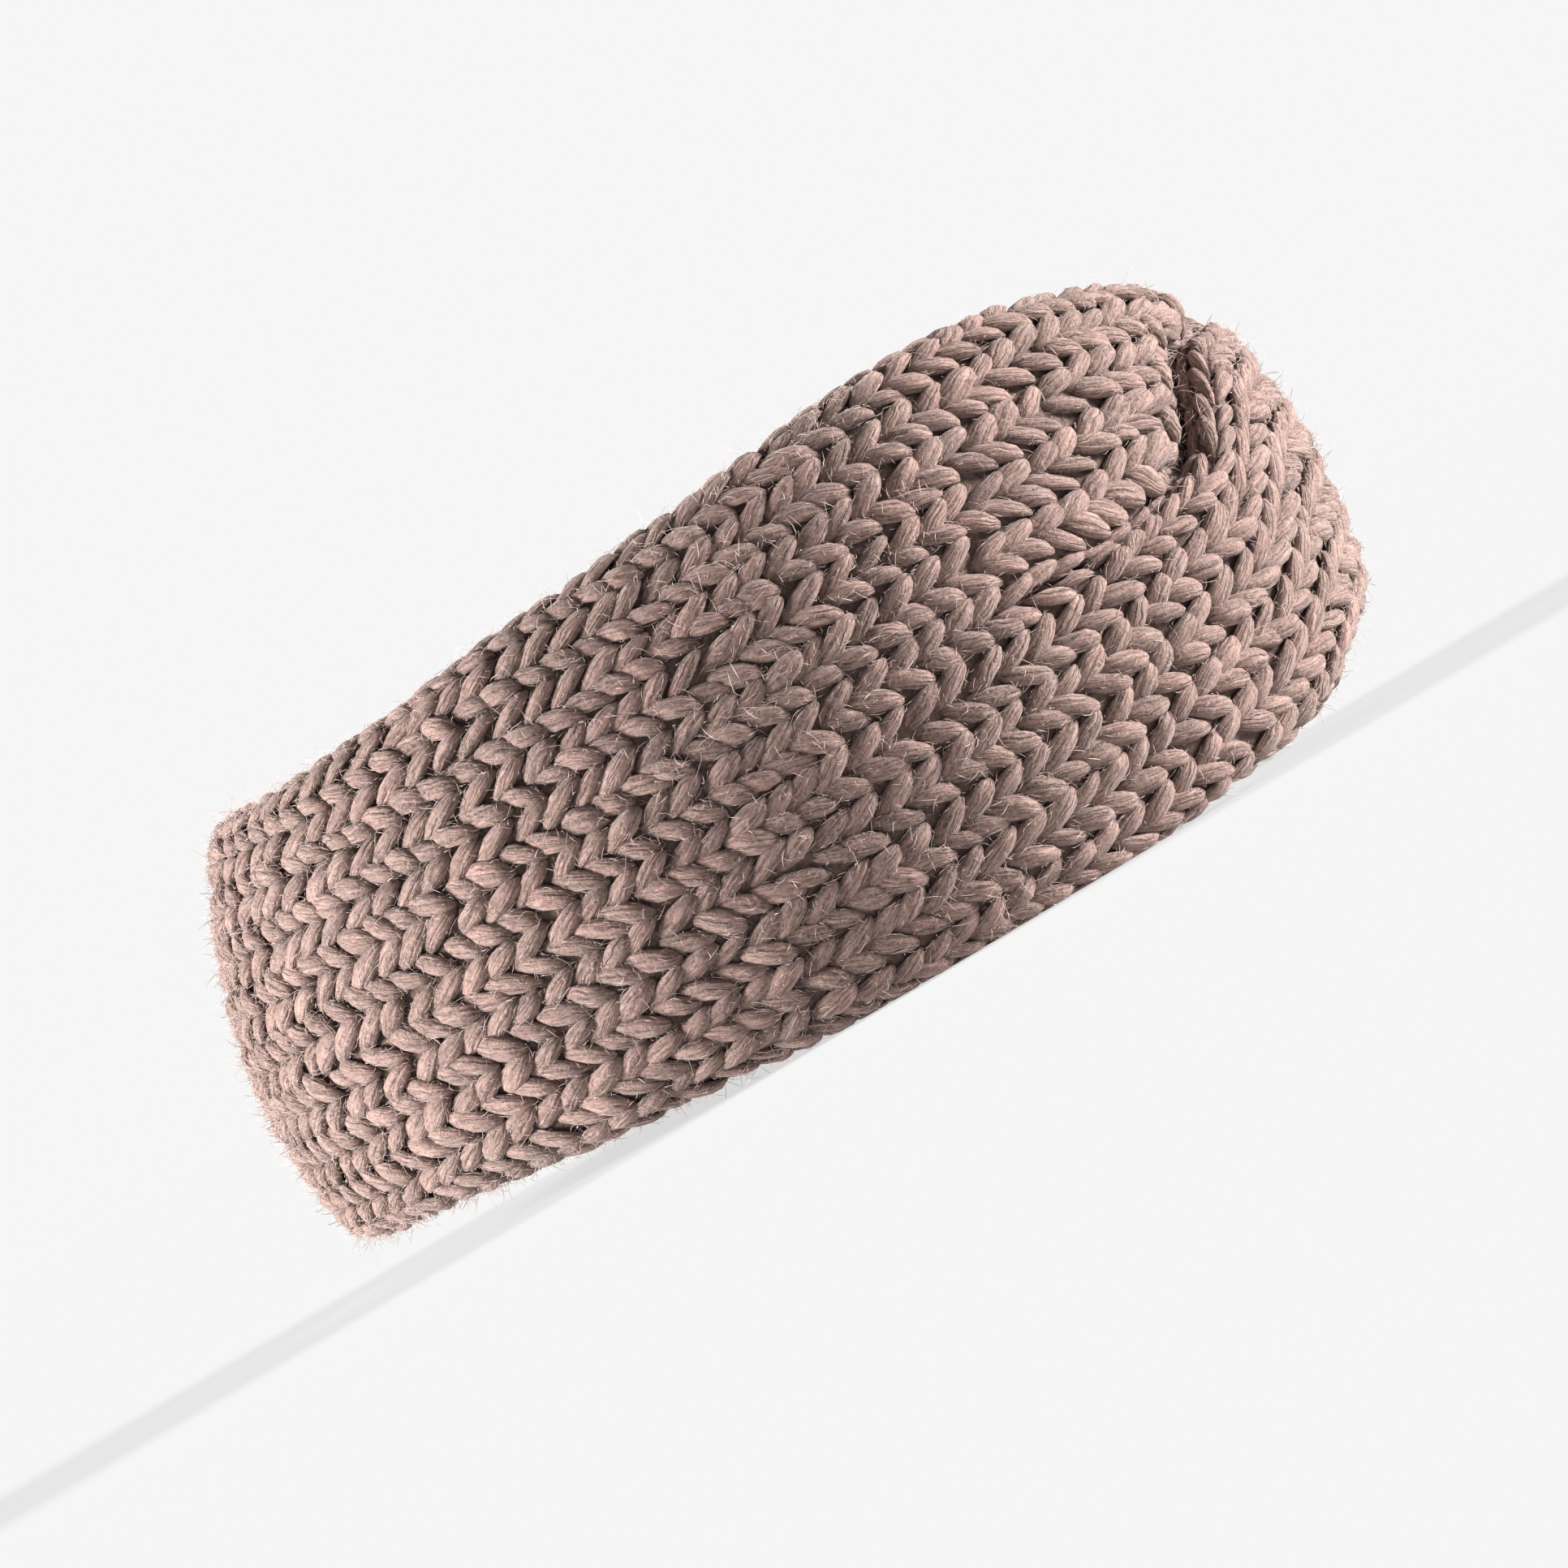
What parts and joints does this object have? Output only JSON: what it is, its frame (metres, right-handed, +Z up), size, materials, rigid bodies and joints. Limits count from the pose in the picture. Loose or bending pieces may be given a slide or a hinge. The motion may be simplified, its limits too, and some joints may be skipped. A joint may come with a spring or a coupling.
{
  "type": "twisted headband",
  "caption": "Chunky knitted headband, a flattened tube in a ring whose two halves cross in a twist at the forehead.",
  "frame": {"origin": "centre of the bounding box's bottom, on the surface that the lower rim rests on", "axes": "+X towards the forehead and its twist, -Y towards the wearer's right, +Z up along the axis of the head opening"},
  "size_m": [0.2045, 0.168, 0.0879],
  "materials": {
    "yarn": "matte chunky knit, dusty rose brown"
  },
  "bodies": {
    "root": {"band": "yarn", "twist_over": "yarn", "twist_under": "yarn"}
  },
  "joints": []
}
